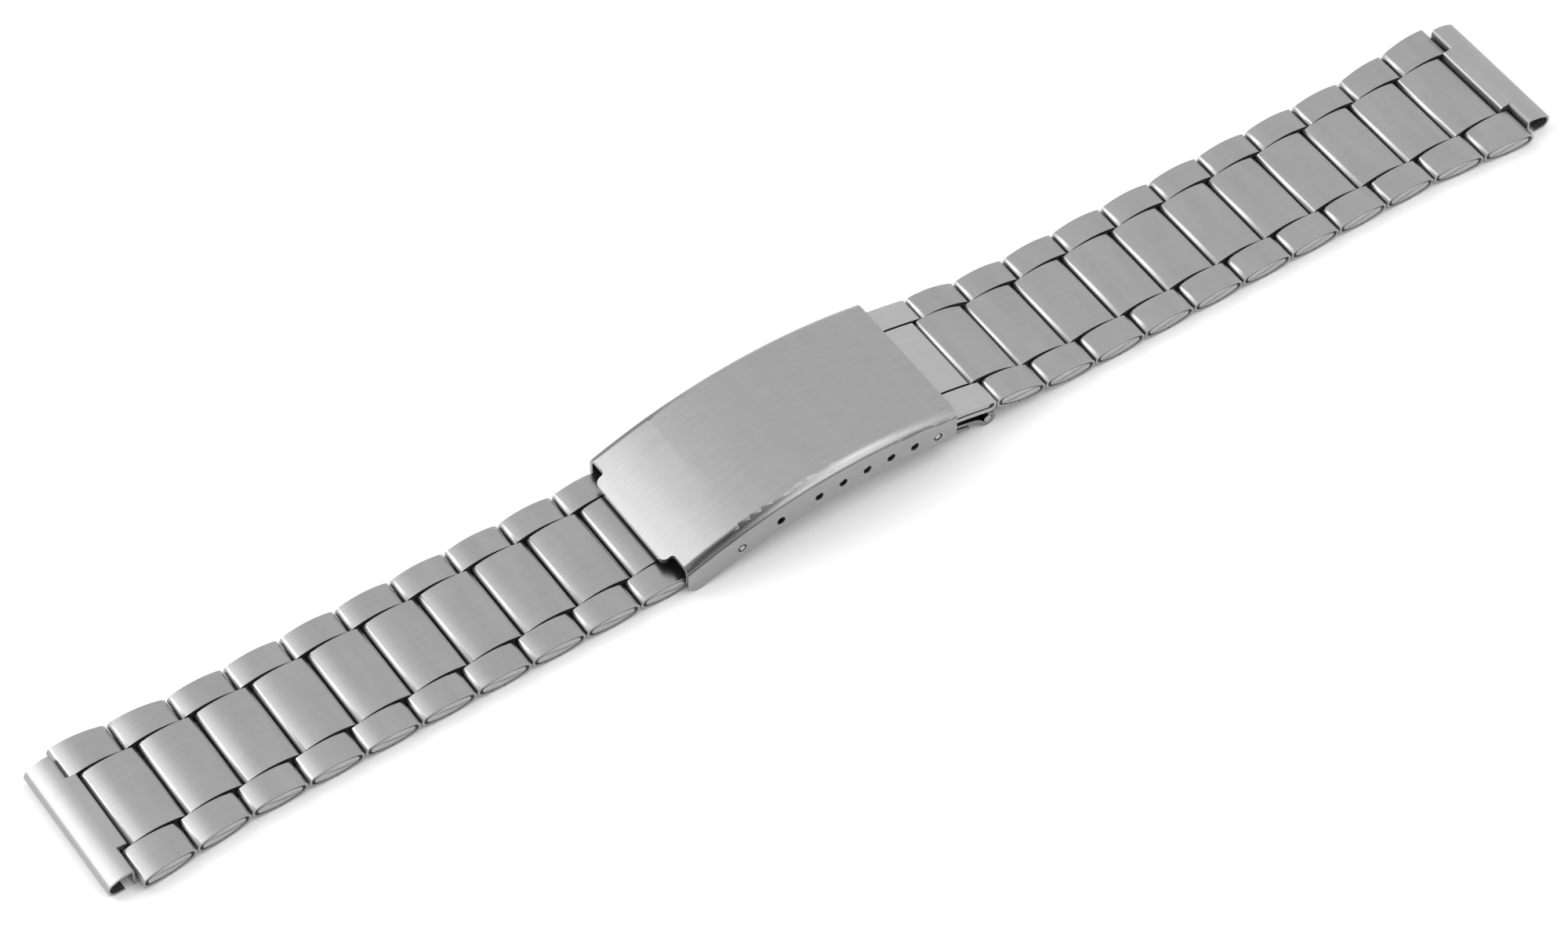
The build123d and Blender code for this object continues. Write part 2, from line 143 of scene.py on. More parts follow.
brushLines = {
    "length": 4.0 * millimetre,
    "width": 0.07 * millimetre,          # real lines are about 0.03 mm, too fine to show
    "depth": 0.01 * millimetre,
    "detail": 4.0,
    "harshness": 0.65,
    "cloud": 2.2 * millimetre,           # slow change of tone where the belt pressed harder
    "cloudStretch": (1.0, 0.2, 1.0),     # the change is five times as long across the bracelet
    "cloudDetail": 3.0,
    "roughnessSpan": 0.1,                # share by which the lines change the roughness
}
noiseSpan = {"From Min": 0.3, "From Max": 0.7}       # between which nearly all of a noise lies

# Where marks begin and end, by how far a face looks sideways: 0 is a top, 1 an upright side
sideFace = {"From Min": 0.6, "From Max": 0.8}
bendMarks = {
    "pit": 0.22 * millimetre,            # marks of the press where the cover's sheet is bent
    "pitDepth": 0.22 / 15 * millimetre,
    "pitDetail": 2.0,
    "pitsStart": {"From Min": 0.3, "From Max": 0.5},
    "pitsEnd": {"From Min": 0.97, "From Max": 0.88},
    "sleek": {"To Min": 1.0, "To Max": 0.6},
    # painted dark reflection: a dark line where the bend runs out into the upright side
    "lineStart": {"From Min": 0.91, "From Max": 0.95, "To Max": 0.5},
    "lineEnd": {"From Min": 0.996, "From Max": 0.985},
    # painted dark reflection over the whole bend, towards the hinge end
    "shadeStart": {"From Min": 0.12, "From Max": 0.35},
    "shadeEnd": {"From Min": 0.998, "From Max": 0.985},
    # where along the bracelet the bend keeps its lit tone and where it takes the painted dark reflection
    "shadeAlong": {"From Min": -12.0 * millimetre, "From Max": -18.5 * millimetre, "To Max": 0.5},
}
# where the painted shade on a link's round end begins and ends
roundEnd = {"From Min": 0.93, "From Max": 0.995}     # by how far a link's end looks along the bracelet


def brushedMetal(name, colour, roughness, streak, bump, cloudy, across=False, pitsAndPaintedReflection=0.0, paintedEndShade=0.0):
    # Stainless steel drawn along an abrasive belt: fine parallel lines, soft broad highlights
    material = bpy.data.materials.new(name)
    material.use_nodes = True
    tree = material.node_tree
    tree.nodes.clear()
    coords = addNode(tree, "ShaderNodeTexCoord").outputs
    along, fine = 1 / brushLines["length"], 1 / brushLines["width"]
    topScale = (fine, along, along) if across else (along, fine, along)
    top = addNode(tree, "ShaderNodeMapping", {"Vector": coords["Object"], "Scale": topScale})
    side = addNode(tree, "ShaderNodeMapping", {"Vector": coords["Object"], "Scale": (along, along, fine)})
    facing = addNode(tree, "ShaderNodeSeparateXYZ", {0: coords["Normal"]}).outputs
    sideways = addNode(tree, "ShaderNodeMath", {0: facing["Y"]}, operation="ABSOLUTE")
    onSide = addNode(tree, "ShaderNodeMapRange", {"Value": sideways, **sideFace})
    # inputs 4 and 5 and output 1 are the mixer's vectors
    lineSpot = addNode(tree, "ShaderNodeMix", {0: onSide, 4: top, 5: side}, data_type="VECTOR").outputs[1]
    lines = addNode(tree, "ShaderNodeTexNoise", {"Vector": lineSpot, "Scale": 1.0,
                                                 "Detail": brushLines["detail"],
                                                 "Roughness": brushLines["harshness"]})
    stretched = addNode(tree, "ShaderNodeMapping", {"Vector": coords["Object"],
                                                    "Scale": brushLines["cloudStretch"]})
    cloud = addNode(tree, "ShaderNodeTexNoise", {"Vector": stretched, "Scale": 1 / brushLines["cloud"],
                                                 "Detail": brushLines["cloudDetail"]})
    tone = addNode(tree, "ShaderNodeMapRange", {"Value": lines, **noiseSpan,
                                                "To Min": 1 - streak, "To Max": 1 + streak})
    patch = addNode(tree, "ShaderNodeMapRange", {"Value": cloud, **noiseSpan,
                                                 "To Min": 1 - cloudy, "To Max": 1 + cloudy})
    light = addNode(tree, "ShaderNodeMath", {0: tone, 1: patch}, operation="MULTIPLY")
    rough = addNode(tree, "ShaderNodeMapRange", {"Value": lines, **noiseSpan,
                                                 "To Min": roughness * (1 - brushLines["roughnessSpan"]),
                                                 "To Max": roughness * (1 + brushLines["roughnessSpan"])})
    relief = addNode(tree, "ShaderNodeBump", {"Height": lines, "Strength": bump,
                                              "Distance": brushLines["depth"]})
    if paintedEndShade:
        # painted shade on the round ends, where one link dips under the next
        endways = addNode(tree, "ShaderNodeMath", {0: facing["X"]}, operation="ABSOLUTE")
        roundEndShade = addNode(tree, "ShaderNodeMapRange", {"Value": endways, **roundEnd,
                                                     "To Min": 1.0, "To Max": 1 - paintedEndShade})
        light = addNode(tree, "ShaderNodeMath", {0: light, 1: roundEndShade}, operation="MULTIPLY")
    if pitsAndPaintedReflection:
        # only the bends, whose faces look half sideways, carry the marks of the press and the painted dark
        # reflections
        marks = {}
        for mark in ("pits", "line", "shade"):
            start = addNode(tree, "ShaderNodeMapRange", {"Value": sideways, **bendMarks[mark + "Start"]})
            end = addNode(tree, "ShaderNodeMapRange", {"Value": sideways, **bendMarks[mark + "End"]})
            marks[mark] = addNode(tree, "ShaderNodeMath", {0: start, 1: end}, operation="MULTIPLY")
        pitted = addNode(tree, "ShaderNodeMath", {0: marks["pits"], 1: pitsAndPaintedReflection}, operation="MULTIPLY")
        pits = addNode(tree, "ShaderNodeTexNoise", {"Vector": coords["Object"], "Scale": 1 / bendMarks["pit"],
                                                    "Detail": bendMarks["pitDetail"]})
        relief = addNode(tree, "ShaderNodeBump", {"Height": pits, "Strength": pitted,
                                                  "Distance": bendMarks["pitDepth"], "Normal": relief})
        sleek = addNode(tree, "ShaderNodeMapRange", {"Value": pitted, **bendMarks["sleek"]})
        rough = addNode(tree, "ShaderNodeMath", {0: rough, 1: sleek}, operation="MULTIPLY")
        # painted dark reflection: the bend grows darker towards the hinge end of the cover
        place = addNode(tree, "ShaderNodeSeparateXYZ", {0: coords["Object"]}).outputs
        paintedDarkAlong = addNode(tree, "ShaderNodeMapRange", {"Value": place["X"], **bendMarks["shadeAlong"]})
        shade = addNode(tree, "ShaderNodeMath", {0: marks["shade"], 1: paintedDarkAlong}, operation="MULTIPLY")
        # painted dark reflections: a dark line where the bend runs out into the upright side, and the darker
        # stretch towards the hinge end
        for darker in (marks["line"], shade):
            left = addNode(tree, "ShaderNodeMath", {0: 1.0, 1: darker}, operation="SUBTRACT")
            light = addNode(tree, "ShaderNodeMath", {0: light, 1: left}, operation="MULTIPLY")
    tint = addNode(tree, "ShaderNodeVectorMath", {0: linearColour(colour)[:3], "Scale": light},
                   operation="SCALE")
    shader = addNode(tree, "ShaderNodeBsdfPrincipled", {"Base Color": tint, "Metallic": 1.0,
                                                        "Roughness": rough, "Normal": relief})
    addNode(tree, "ShaderNodeOutputMaterial", {"Surface": shader})
    return material


def matt(name, colour, roughness):
    # A dull surface of one even tone
    material = bpy.data.materials.new(name)
    material.use_nodes = True
    shader = material.node_tree.nodes["Principled BSDF"]
    shader.inputs["Base Color"].default_value = linearColour(colour)
    shader.inputs["Roughness"].default_value = roughness
    return material


# A bracelet is all of one steel: what tells its pieces apart is how each was rolled, bent or brushed
# satin tops, with painted shade on the round ends where they dip under the next link
linkSteel = brushedMetal("brushed stainless steel", "#A2A2A2", roughness=0.30, streak=0.05, bump=0.12,
                         cloudy=0.05, paintedEndShade=0.6)
# a duller satin with broad, soft highlights
endSteel = brushedMetal("rolled and brushed stainless steel", "#A8A8A8", roughness=0.42, streak=0.02, bump=0.08,
                        cloudy=0.04)
# long visible lines on the arch, and a pitted, brighter bend with painted dark reflections
coverSteel = brushedMetal("belt brushed stainless steel", "#A2A2A2", roughness=0.34, streak=0.10, bump=0.55,
                          cloudy=0.02, pitsAndPaintedReflection=0.45)
# a little lighter and more even than the links
adjusterSteel = brushedMetal("smooth stainless steel", "#B5B5B5", roughness=0.30, streak=0.05, bump=0.12,
                             cloudy=0.02)
# coarse lines along the cut ends of the folded cores
coreSteel = brushedMetal("milled stainless steel", "#B4B4B4", roughness=0.36, streak=0.08, bump=0.5,
                         cloudy=0.04)
# thin leaves, darker and glossier, as they come from the mill
leafSteel = brushedMetal("rolled stainless steel sheet", "#8E8E8E", roughness=0.25, streak=0.04, bump=0.2,
                         cloudy=0.02)
# small bright ends that catch the light
pinSteel = brushedMetal("polished stainless steel wire", "#BCBCBC", roughness=0.2, streak=0.03, bump=0.1,
                        cloudy=0.0, across=True)
# painted shade: black for faces in folds and cracks, where shade falls; the dark card has it too
paintedShadeAndCardBlack = matt("black for painted shade in cracks, and the dark card", "#1C1C1B", roughness=0.7)
print("materials ready")


def setMaterial(obj, material):
    obj.data.materials.clear()
    obj.data.materials.append(material)


# Finish of the CAD pieces, of which the cores and the hidden pins keep their own mesh

for name, obj in nodes.items():
    if name.endswith("_core"):
        setMaterial(obj, coreSteel)
    elif name.endswith("_pin") or name.endswith("_bar") or "_tip_" in name or "_bar_" in name:
        setMaterial(obj, pinSteel)
    elif "blade" in name:
        setMaterial(obj, leafSteel)
    else:
        setMaterial(obj, linkSteel)


def paintShadeOn(obj, chosen):
    # Painted shade: black on the chosen faces of a piece
    materials = list(obj.data.materials)
    if paintedShadeAndCardBlack not in materials:
        obj.data.materials.append(paintedShadeAndCardBlack)
        materials.append(paintedShadeAndCardBlack)
    paintedShade = materials.index(paintedShadeAndCardBlack)
    for face in obj.data.polygons:
        if chosen(face):
            face.material_index = paintedShade


dark = {
    "gapEnd": 5.75 * millimetre,         # the gaps beside the centre sleeves lie nearer the middle than this
    "sideways": 0.7,                     # least sideways part of the normal of a face in such a gap
    "flat": 0.97,                        # and of the flat end of a pin
}


def darkenGaps(obj):
    # Painted shade: black on the faces that look at each other across the narrow gaps beside the centre sleeves
    paintShadeOn(obj, lambda face: abs(face.normal.y) > dark["sideways"] and abs(face.center.y) < dark["gapEnd"])


def darkenRim(obj):
    # Painted shade: black on the rounded rim of a pin's end, which stands as a dark ring round it
    paintShadeOn(obj, lambda face: abs(face.normal.y) < dark["flat"])


# Pieces finished from a merged copy of their CAD solid, with eased edges

eased = {
    "merge": 0.0005 * millimetre,        # corners of the solid's triangles that are one point
    "flat": 0.2,                         # degrees, below which neighbouring triangles are one face
    "angle": 32,                         # degrees between faces, above which their edge is eased
    "cover": 0.09 * millimetre,
    "leaf": 0.06 * millimetre,
    "link": 0.05 * millimetre,
    "pin": 0.13 * millimetre,
}


def easedCopy(node, body, name, material, width, reshape=None):
    mesh = nodes[node].data.copy()
    build = bmesh.new()
    build.from_mesh(mesh)
    bmesh.ops.remove_doubles(build, verts=build.verts, dist=eased["merge"])
    bmesh.ops.dissolve_limit(build, angle_limit=math.radians(eased["flat"]), verts=build.verts,
                             edges=build.edges)
    if reshape:
        for vertex in build.verts:
            reshape(vertex.co)
    build.to_mesh(mesh)
    build.free()
    obj = newObject(name, mesh)
    easeEdges(obj, width, eased["angle"])
    setMaterial(obj, material)
    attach(obj, body)
    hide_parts(node)
    return obj


cover = {
    "halfWidth": 9.9 * millimetre,
    "arch": 63.8 * millimetre,           # radius of its upper face, seen from the side
    "crest": (-2.5405 * millimetre, cadBox[1][2]),
    "bend": 0.95 * millimetre,           # radius of the solid's outer skin
    "pressedBend": 1.1 * millimetre,     # the press leaves the bend's outer skin rounder than the solid's
    "slack": 0.01 * millimetre,          # within which a point counts as on that skin
}


def rounderBend(point):
    # Points on the outer skin of the cover's two bends move away from the corner that the skin rounds off
    inwards = cover["halfWidth"] - abs(point.y)
    crestX, crestZ = cover["crest"]
    down = cover["arch"] - math.hypot(point.x - crestX, point.z - crestZ + cover["arch"])
    bend, slack = cover["bend"], cover["slack"]
    if inwards > bend + slack or down > bend + slack or down < -slack:
        return
    if abs(math.hypot(bend - inwards, bend - down) - bend) > slack:
        return
    growth = cover["pressedBend"] / bend - 1
    point.y -= math.copysign(inwards * growth, point.y)
    point.z -= down * growth


adjuster = {
    "centre": (0.436 * millimetre, -54.405 * millimetre),    # of the arch through the middle of the link
    "arch": 60.0 * millimetre,
    "sideStart": 5.6 * millimetre,       # the side sleeves lie beyond this distance from the middle
    "under": 1.6,                        # the fold below that arch is as many times as deep as in the solid
}


def fullerUnderside(point):
    # The side sleeves of the adjuster link hang deeper below the arch that runs through their middle
    across, up = point.x - adjuster["centre"][0], point.z - adjuster["centre"][1]
    away = math.hypot(across, up)
    if abs(point.y) < adjuster["sideStart"] or away > adjuster["arch"]:
        return
    deeper = 1 + (adjuster["under"] - 1) * (away - adjuster["arch"]) / away
    point.x = adjuster["centre"][0] + across * deeper
    point.z = adjuster["centre"][1] + up * deeper


easedCopy("clasp_cover", "clasp", "coverSheet", coverSteel, eased["cover"], reshape=rounderBend)
easedCopy("middle_blade", "upper_leaf", "upperLeafSheet", leafSteel, eased["leaf"])
easedCopy("inner_blade", "lower_leaf", "lowerLeafSheet", leafSteel, eased["leaf"])
easedCopy("end_piece_left", "left_end", "leftEndSheet", endSteel, eased["link"])
easedCopy("end_piece_right", "right_end", "rightEndSheet", endSteel, eased["link"])
darkenGaps(easedCopy("link_R01_sleeves", "link_R01", "adjusterSleeves", adjusterSteel, eased["link"],
                     reshape=fullerUnderside))
pins = (
    ("clasp_hinge_pin", "clasp", "claspHingePin"),
    ("adjuster_tip_front", "tip_front", "frontTip"),
    ("adjuster_tip_back", "tip_back", "backTip"),
)
for node, body, name in pins:
    darkenRim(easedCopy(node, body, name, pinSteel, eased["pin"]))
print("sheet pieces eased")


# Links: three folded sleeves and the ends of a core each, made by one tree of geometry nodes

link = {
    "pitch": 7.057 * millimetre,
    "endRound": 0.8 * millimetre,
    "reach": 0.58 * millimetre,          # of a round end past the hinge wire that it holds
    "crown": 1.15 * millimetre,          # from the middle of the link up to its top
    "wall": 0.3 * millimetre,
    "gap": 0.12 * millimetre,
    "seam": 0.12 * millimetre,
    "centreHalf": 5.45 * millimetre,
    "sideStart": 5.7 * millimetre,
    "bandHalf": 9.05 * millimetre,
    "flareRise": 1.3 * millimetre,       # by which each half of the band is wider at the end pieces
    "flaredLinks": 2,
    "easedEdge": 0.045 * millimetre,
    "easedAngle": 50,                    # degrees between faces, above which their edge is eased
    "columns": 113,                      # points round a sleeve
    "merge": 0.0001 * millimetre,
    "crack": 0.1 * millimetre,           # dark line between the sheet and the folded core
    "coreDepth": 0.3 * millimetre,
    "coreRecess": 0.02 * millimetre,
    "paintedShadeRecess": 0.045 * millimetre,
    "foldSlope": 0.7,                    # the core's fold crosses its end at a slant, as a share of the lens
    "foldGap": 0.07,                     # half the crack along the fold, as a share of the lens
    "coreShare": 0.9,                    # length of the core's end, as a share of the lens
}
link["shift"] = 2 * link["reach"] + link["gap"]
link["start"] = link["endRound"] - link["reach"]
link["halfSpan"] = (link["pitch"] - link["gap"]) / 2 - link["endRound"]


def lensArch():
    # Radius of the arch that the sheet's folds ride on, and how far its centre lies below the link
    half, crown, nose = link["halfSpan"], link["crown"], link["endRound"]
    outer = (half ** 2 + crown ** 2 - nose ** 2) / (2 * (crown - nose))
    return outer - nose, outer - crown


def sleeveTree():
    tree = bpy.data.node_groups.new("foldedSleeves", "GeometryNodeTree")
    tree.interface.new_socket("Geometry", in_out="OUTPUT", socket_type="NodeSocketGeometry")
    inputs = {
        "NodeSocketFloat": ["Half Span", "Arch", "Drop", "End Round", "Wall", "Seam Angle", "Centre Half",
                            "Side Start", "Near Half", "Far Half", "Start", "Shift", "Flare Start", "Pitch",
                            "Crack", "Core Depth", "Core Recess", "Painted Shade Recess", "Fold Slope", "Fold Gap",
                            "Core Share"],
        "NodeSocketVector": ["Place", "Turn"],
        "NodeSocketInt": ["Columns"],
        "NodeSocketMaterial": ["Material", "Core Material", "Painted Shade Material"],
    }
    for kind, names in inputs.items():
        for name in names:
            tree.interface.new_socket(name, in_out="INPUT", socket_type=kind)
    given = addNode(tree, "NodeGroupInput").outputs

    # a strip of cells: x runs round the link from -1 to 1, y from the outer face inwards
    strip = addNode(tree, "GeometryNodeMeshGrid", {"Size X": 2.0, "Size Y": 1.0, "Vertices X": given["Columns"],
                                                   "Vertices Y": 2})
    position = addNode(tree, "GeometryNodeInputPosition")
    where = addNode(tree, "ShaderNodeSeparateXYZ", {0: position}).outputs
    inwards = addNode(tree, "ShaderNodeMath", {0: where["Y"], 1: 0.5}, operation="ADD")

    def lensPoint(turn, radius):
        # the point of a lens of two arches with round ends, at a turn from its crest
        sine = addNode(tree, "ShaderNodeMath", {0: turn}, operation="SINE")
        cosine = addNode(tree, "ShaderNodeMath", {0: turn}, operation="COSINE")
        reach = addNode(tree, "ShaderNodeMath", {0: given["Arch"], 1: sine}, operation="MULTIPLY")
        least = addNode(tree, "ShaderNodeMath", {0: given["Half Span"], 1: -1.0}, operation="MULTIPLY")
        reach = addNode(tree, "ShaderNodeClamp", {"Value": reach, "Min": least, "Max": given["Half Span"]})
        archSquare = addNode(tree, "ShaderNodeMath", {0: given["Arch"], 1: given["Arch"]}, operation="MULTIPLY")
        reachSquare = addNode(tree, "ShaderNodeMath", {0: reach, 1: reach}, operation="MULTIPLY")
        rise = addNode(tree, "ShaderNodeMath", {0: archSquare, 1: reachSquare}, operation="SUBTRACT")
        rise = addNode(tree, "ShaderNodeMath", {0: rise}, operation="SQRT")
        rise = addNode(tree, "ShaderNodeMath", {0: rise, 1: given["Drop"]}, operation="SUBTRACT")
        rise = addNode(tree, "ShaderNodeMath", {0: rise, 1: 0.0}, operation="MAXIMUM")
        half = addNode(tree, "ShaderNodeMath", {0: cosine}, operation="SIGN")
        rise = addNode(tree, "ShaderNodeMath", {0: half, 1: rise}, operation="MULTIPLY")
        x = addNode(tree, "ShaderNodeMath", {0: radius, 1: sine, 2: reach}, operation="MULTIPLY_ADD")
        z = addNode(tree, "ShaderNodeMath", {0: radius, 1: cosine, 2: rise}, operation="MULTIPLY_ADD")
        return x, z

    def solid(x, z):
        # the strip as a flat ring, then one unit deep and closed at both ends
        spot = addNode(tree, "ShaderNodeCombineXYZ", {"X": x, "Z": z})
        ring = addNode(tree, "GeometryNodeSetPosition", {"Geometry": strip, "Position": spot})
        raised = addNode(tree, "GeometryNodeExtrudeMesh", {"Mesh": ring, "Offset": (0.0, 1.0, 0.0),
                                                           "Individual": False})
        bottom = addNode(tree, "GeometryNodeFlipFaces", {"Mesh": ring})
        closed = addNode(tree, "GeometryNodeJoinGeometry", {0: [raised, bottom]})
        return addNode(tree, "GeometryNodeMergeByDistance", {"Geometry": closed, "Distance": link["merge"]})

    # folded sheet, open at the seam below
    halfTurn = addNode(tree, "ShaderNodeMath", {0: math.pi, 1: given["Seam Angle"]}, operation="SUBTRACT")
    turn = addNode(tree, "ShaderNodeMath", {0: where["X"], 1: halfTurn}, operation="MULTIPLY")
    depth = addNode(tree, "ShaderNodeMath", {0: given["Wall"], 1: inwards}, operation="MULTIPLY")
    radius = addNode(tree, "ShaderNodeMath", {0: given["End Round"], 1: depth}, operation="SUBTRACT")
    tube = solid(*lensPoint(turn, radius))

    # end of the core in two halves, which meet along a slanted fold
    turn = addNode(tree, "ShaderNodeMath", {0: where["X"], 1: math.pi / 2}, operation="MULTIPLY")
    bore = addNode(tree, "ShaderNodeMath", {0: given["End Round"], 1: given["Wall"]}, operation="SUBTRACT")
    radius = addNode(tree, "ShaderNodeMath", {0: bore, 1: given["Crack"]}, operation="SUBTRACT")
    x, z = lensPoint(turn, radius)
    lean = addNode(tree, "ShaderNodeMath", {0: x, 1: given["Fold Slope"]}, operation="MULTIPLY")
    lean = addNode(tree, "ShaderNodeMath", {0: lean, 1: given["Half Span"]}, operation="DIVIDE")
    fold = addNode(tree, "ShaderNodeMath", {0: lean, 1: given["Fold Gap"]}, operation="ADD")
    share = addNode(tree, "ShaderNodeMapRange", {"Value": inwards, "To Min": 1.0, "To Max": fold}, clamp=False)
    x = addNode(tree, "ShaderNodeMath", {0: x, 1: given["Core Share"]}, operation="MULTIPLY")
    z = addNode(tree, "ShaderNodeMath", {0: z, 1: share}, operation="MULTIPLY")
    upper = solid(x, z)
    lower = addNode(tree, "GeometryNodeTransform", {"Geometry": upper, "Rotation": (0.0, math.pi, 0.0)})
    core = addNode(tree, "GeometryNodeJoinGeometry", {0: [upper, lower]})

    # a black sheet of painted shade behind the core, which shows in the cracks round it
    x, z = lensPoint(turn, bore)
    through = addNode(tree, "ShaderNodeMapRange", {"Value": inwards, "To Min": 1.0, "To Max": -1.0},
                      clamp=False)
    z = addNode(tree, "ShaderNodeMath", {0: z, 1: through}, operation="MULTIPLY")
    paintedShade = solid(x, z)

    # the centre sleeve, from one side of the band's middle to the other
    middle = addNode(tree, "ShaderNodeMath", {0: given["Half Span"], 1: given["Start"]}, operation="ADD")
    forwards = addNode(tree, "ShaderNodeMath", {0: where["X"], 1: middle}, operation="ADD")
    front = addNode(tree, "ShaderNodeMath", {0: given["Centre Half"], 1: -1.0}, operation="MULTIPLY")
    out = addNode(tree, "ShaderNodeMapRange", {"Value": where["Y"], "To Min": front,
                                               "To Max": given["Centre Half"]}, clamp=False)
    spot = addNode(tree, "ShaderNodeCombineXYZ", {"X": forwards, "Y": out, "Z": where["Z"]})
    centre = addNode(tree, "GeometryNodeSetPosition", {"Geometry": tube, "Position": spot})

    # the side sleeves stand further along, and flare where the band widens
    shifted = addNode(tree, "ShaderNodeMath", {0: middle, 1: given["Shift"]}, operation="ADD")
    forwards = addNode(tree, "ShaderNodeMath", {0: where["X"], 1: shifted}, operation="ADD")
    flareEnd = addNode(tree, "ShaderNodeMath", {0: given["Flare Start"], 1: given["Pitch"]}, operation="ADD")
    width = addNode(tree, "ShaderNodeMapRange", {"Value": forwards, "From Min": given["Flare Start"],
                                                 "From Max": flareEnd, "To Min": given["Near Half"],
                                                 "To Max": given["Far Half"]}, clamp=False)

    def sides(shape, first, last):
        # one copy at each side of the band, between two distances from its middle
        out = addNode(tree, "ShaderNodeMapRange", {"Value": where["Y"], "To Min": first, "To Max": last},
                      clamp=False)
        copies = []
        for way in (1.0, -1.0):
            y = addNode(tree, "ShaderNodeMath", {0: out, 1: way}, operation="MULTIPLY")
            spot = addNode(tree, "ShaderNodeCombineXYZ", {"X": forwards, "Y": y, "Z": where["Z"]})
            copies.append(addNode(tree, "GeometryNodeSetPosition", {"Geometry": shape, "Position": spot}))
        copies[1] = addNode(tree, "GeometryNodeFlipFaces", {"Mesh": copies[1]})      # mirrored, so inside out
        return addNode(tree, "GeometryNodeJoinGeometry", {0: copies})

    coreStart = addNode(tree, "ShaderNodeMath", {0: width, 1: given["Core Depth"]}, operation="SUBTRACT")
    coreEnd = addNode(tree, "ShaderNodeMath", {0: width, 1: given["Core Recess"]}, operation="SUBTRACT")
    paintedShadeEnd = addNode(tree, "ShaderNodeMath", {0: width, 1: given["Painted Shade Recess"]}, operation="SUBTRACT")
    shapes = (
        (centre, "Material"),
        (sides(tube, given["Side Start"], width), "Material"),
        (sides(core, coreStart, coreEnd), "Core Material"),
        (sides(paintedShade, coreStart, paintedShadeEnd), "Painted Shade Material"),
    )
    finished = []
    for shape, material in shapes:
        laid = addNode(tree, "GeometryNodeTransform", {"Geometry": shape, "Translation": given["Place"],
                                                       "Rotation": given["Turn"]})
        real = addNode(tree, "GeometryNodeRealizeInstances", {0: laid})
        finished.append(addNode(tree, "GeometryNodeSetMaterial", {"Geometry": real,
                                                                  "Material": given[material]}))
    whole = addNode(tree, "GeometryNodeJoinGeometry", {0: finished})
    addNode(tree, "NodeGroupOutput", {0: whole})
    return tree


def halfWidth(linksToEnd):
    # Of the band, at the hinge that has so many links between it and the end piece
    flare = max(0, link["flaredLinks"] - linksToEnd) / link["flaredLinks"]
    return link["bandHalf"] + flare * link["flareRise"]


sleeves = sleeveTree()
sleeveSockets = {item.name: item.identifier for item in sleeves.interface.items_tree if item.in_out == "INPUT"}
arch, drop = lensArch()
hinges = {joint["child"]: joint for joint in frame["joints"]}


def makeLink(body, linksToEnd):
    # One link from its own hinge to the next one outwards, with linksToEnd more links beyond it
    hinge = Vector(hinges[body]["pos_m"])
    after = [joint for joint in frame["joints"] if joint["parent"] == body and joint["type"] == "hinge"][0]
    step = Vector(after["pos_m"]) - hinge
    obj = newObject(body + "Sleeves", bpy.data.meshes.new(body + "Sleeves"))
    values = {
        "Half Span": link["halfSpan"], "Arch": arch, "Drop": drop, "End Round": link["endRound"],
        "Wall": link["wall"], "Seam Angle": link["seam"] / (2 * (arch + link["endRound"])),
        "Centre Half": link["centreHalf"], "Side Start": link["sideStart"],
        "Near Half": halfWidth(linksToEnd + 1), "Far Half": halfWidth(linksToEnd),
        "Start": link["start"], "Shift": link["shift"], "Flare Start": link["reach"], "Pitch": link["pitch"],
        "Place": hinge, "Turn": (0.0, math.atan2(-step.z, abs(step.x)), math.pi if step.x < 0 else 0.0),
        "Columns": link["columns"],
        "Crack": link["crack"], "Core Depth": link["coreDepth"], "Core Recess": link["coreRecess"],
        "Painted Shade Recess": link["paintedShadeRecess"], "Fold Slope": link["foldSlope"], "Fold Gap": link["foldGap"],
        "Core Share": link["coreShare"],
        "Material": linkSteel, "Core Material": coreSteel, "Painted Shade Material": paintedShadeAndCardBlack,
    }
    modifier = obj.modifiers.new("foldedSleeves", "NODES")
    modifier.node_group = sleeves
    for name, value in values.items():
        modifier[sleeveSockets[name]] = value
    applyModifiers(obj)
    build = bmesh.new()
    build.from_mesh(obj.data)
    bmesh.ops.recalc_face_normals(build, faces=build.faces)
    build.to_mesh(obj.data)
    build.free()
    easeEdges(obj, link["easedEdge"], link["easedAngle"])
    darkenGaps(obj)
    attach(obj, body)
    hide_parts(body + "_sleeves")


bodies = [name for name in frame["bodies"] if name.startswith("link_")]
for side in "LR":
    # link_L01 and link_R12 are next to the end pieces
    sideBodies = sorted(name for name in bodies if name[5] == side)
    for name in sideBodies:
        number = int(name[6:])
        if name != "link_R01":
            makeLink(name, number - 1 if side == "L" else len(sideBodies) - number)
print("links folded:", len(bodies) - 1)


# Floor, lamps and camera

def sheetMesh(name, halfX, halfY):
    mesh = bpy.data.meshes.new(name)
    corners = [(-halfX, -halfY, 0), (halfX, -halfY, 0), (halfX, halfY, 0), (-halfX, halfY, 0)]
    mesh.from_pydata(corners, [], [(0, 1, 2, 3)])
    return mesh


scene = bpy.context.scene
scene.view_settings.view_transform = "Standard"
world = bpy.data.worlds.new("paleRoom")
scene.world = world
world.use_nodes = True
world.node_tree.nodes.clear()
roomLight = addNode(world.node_tree, "ShaderNodeBackground", {"Color": linearColour("#FFFFFF"),
                                                              "Strength": 1.0})
addNode(world.node_tree, "ShaderNodeOutputWorld", {"Surface": roomLight})

paper = {
    "half": 1.5,
    "drop": 0.02 * millimetre,           # keeps it clear of the pieces that lie on it
    "colour": "#F4F4F4",
    "roughness": 0.9,
}
floor = newObject("floor", sheetMesh("floor", paper["half"], paper["half"]))
floor.location.z = -paper["drop"]
setMaterial(floor, matt("matt white paper", paper["colour"], paper["roughness"]))

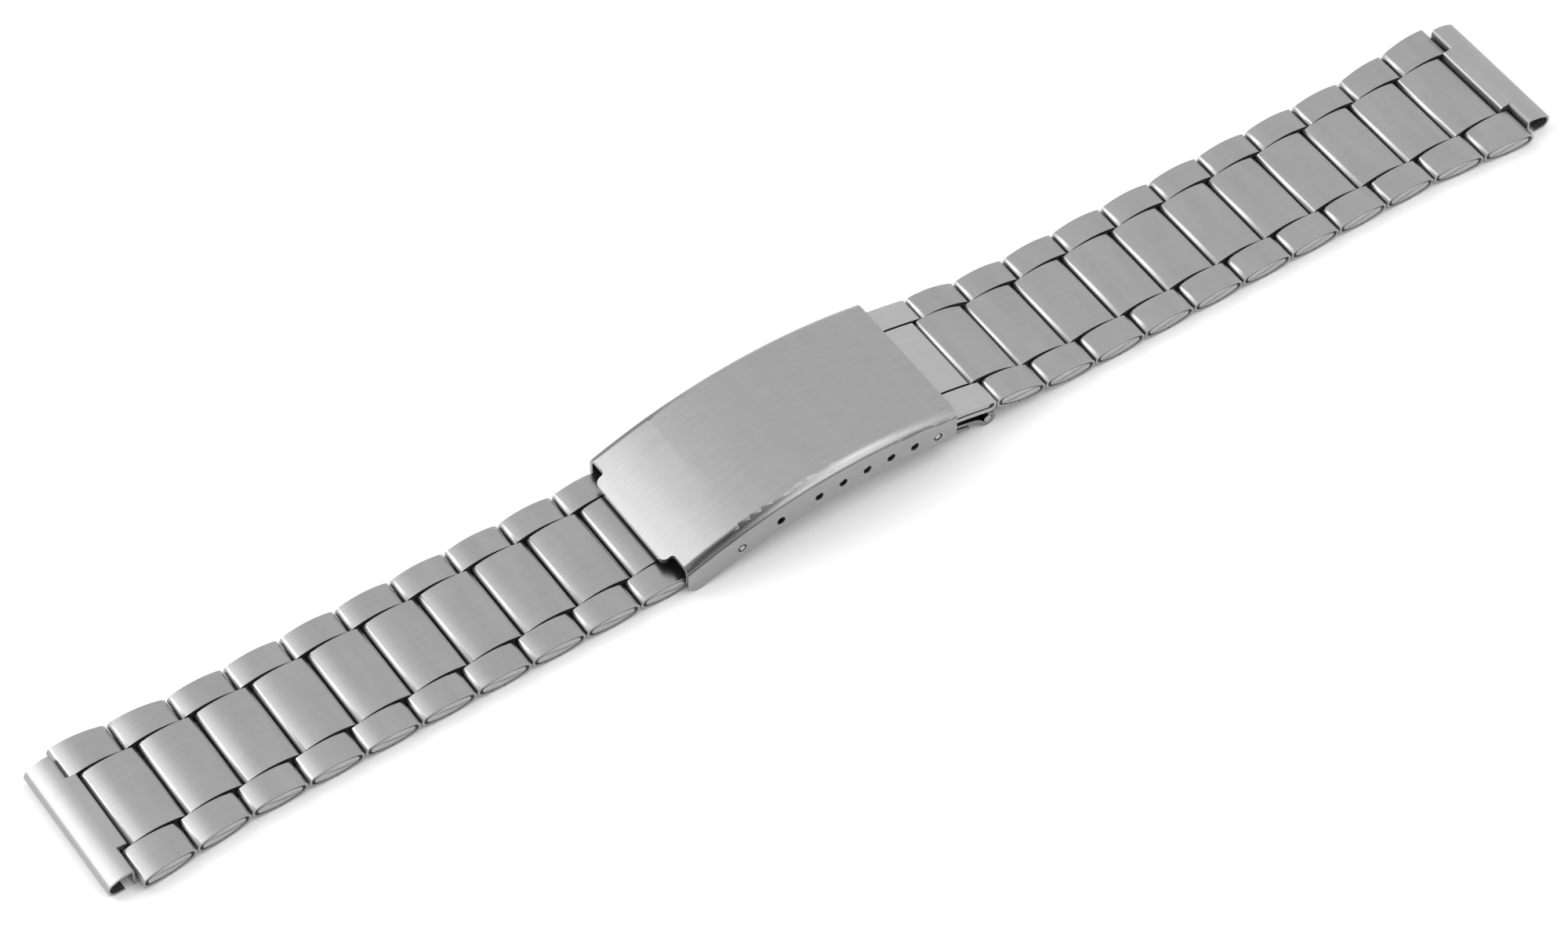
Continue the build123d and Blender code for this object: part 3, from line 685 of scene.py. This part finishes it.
view = {
    "focal": 6550.0,                     # pixels, in the photograph's frame of 2000 by 1181
    "width": 2000.0,
    "sensor": 36.0,                      # millimetres
    "azimuth": -34.42,                   # degrees
    "elevation": 50.91,
    "eye": (-0.21162, -0.30041, 0.44764),
}
cameraData = bpy.data.cameras.new("camera")
cameraData.sensor_width = view["sensor"]
cameraData.sensor_fit = "HORIZONTAL"
cameraData.lens = view["focal"] / view["width"] * view["sensor"]
camera = newObject("camera", cameraData)
camera.location = view["eye"]
azimuth, elevation = math.radians(view["azimuth"]), math.radians(view["elevation"])
aim = Vector((-math.sin(azimuth) * math.cos(elevation), math.cos(azimuth) * math.cos(elevation),
              -math.sin(elevation)))
camera.rotation_euler = aim.to_track_quat("-Z", "Y").to_euler()
scene.camera = camera

# lamps that look at the middle of the bracelet: place, size, watts, and degrees of roll
lamps = {
    "windowLeft": {"place": (-0.55, 0.50, 0.40), "size": (0.6, 0.3), "power": 1.3, "roll": 0.0},
    "softTopLeft": {"place": (-0.42, 0.46, 0.68), "size": (0.4, 0.6), "power": 1.6, "roll": 0.0},
    "frontRight": {"place": (0.267, -0.431, 0.552), "size": (0.18, 1.4), "power": 1.75, "roll": -24.5},
}
for name, lamp in lamps.items():
    data = bpy.data.lights.new(name, "AREA")
    data.shape = "RECTANGLE"
    data.size, data.size_y = lamp["size"]
    data.energy = lamp["power"]
    obj = newObject(name, data)
    obj.location = lamp["place"]
    roll = Quaternion((0, 0, 1), math.radians(lamp["roll"]))
    obj.rotation_euler = ((-Vector(lamp["place"])).to_track_quat("-Z", "Y") @ roll).to_euler()

# the dark camera side of the room, which only mirror rays see
cardPlan = {
    "place": Vector((-0.09, -0.55, 0.55)),
    "halfWidth": 0.16,
    "halfHeight": 0.74,
}
card = newObject("darkCard", sheetMesh("darkCard", cardPlan["halfWidth"], cardPlan["halfHeight"]))
card.location = cardPlan["place"]
card.rotation_euler = (-cardPlan["place"]).to_track_quat("-Z", "Y").to_euler()
setMaterial(card, paintedShadeAndCardBlack)
card.visible_camera = card.visible_diffuse = card.visible_transmission = card.visible_shadow = False
print("stage and camera set")
